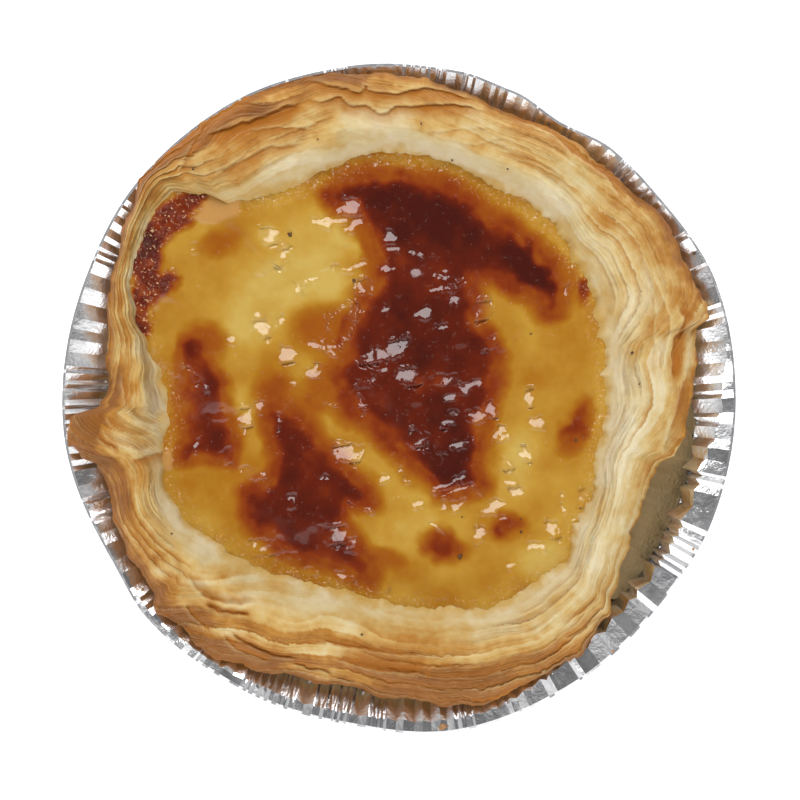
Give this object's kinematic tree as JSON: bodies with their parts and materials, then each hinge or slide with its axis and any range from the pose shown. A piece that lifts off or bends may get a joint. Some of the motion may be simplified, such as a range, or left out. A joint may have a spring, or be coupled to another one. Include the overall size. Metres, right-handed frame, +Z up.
{
  "type": "pastel de nata",
  "caption": "Small round custard tart with a flaky layered pastry rim, scorched glossy custard and its own crimped foil baking case.",
  "frame": {"origin": "centre of the foil case's flat base, on the surface it stands on", "axes": "+Z up; -Y is the side at the bottom of the picture and +X the side at its right"},
  "size_m": [0.0803, 0.0799, 0.0284],
  "materials": {
    "foil": "bright thin foil with pressed pleats",
    "pastry": null,
    "custard": null
  },
  "bodies": {
    "root": {"foil_case": "foil", "pastry_shell": "pastry", "custard": "custard"}
  },
  "joints": []
}
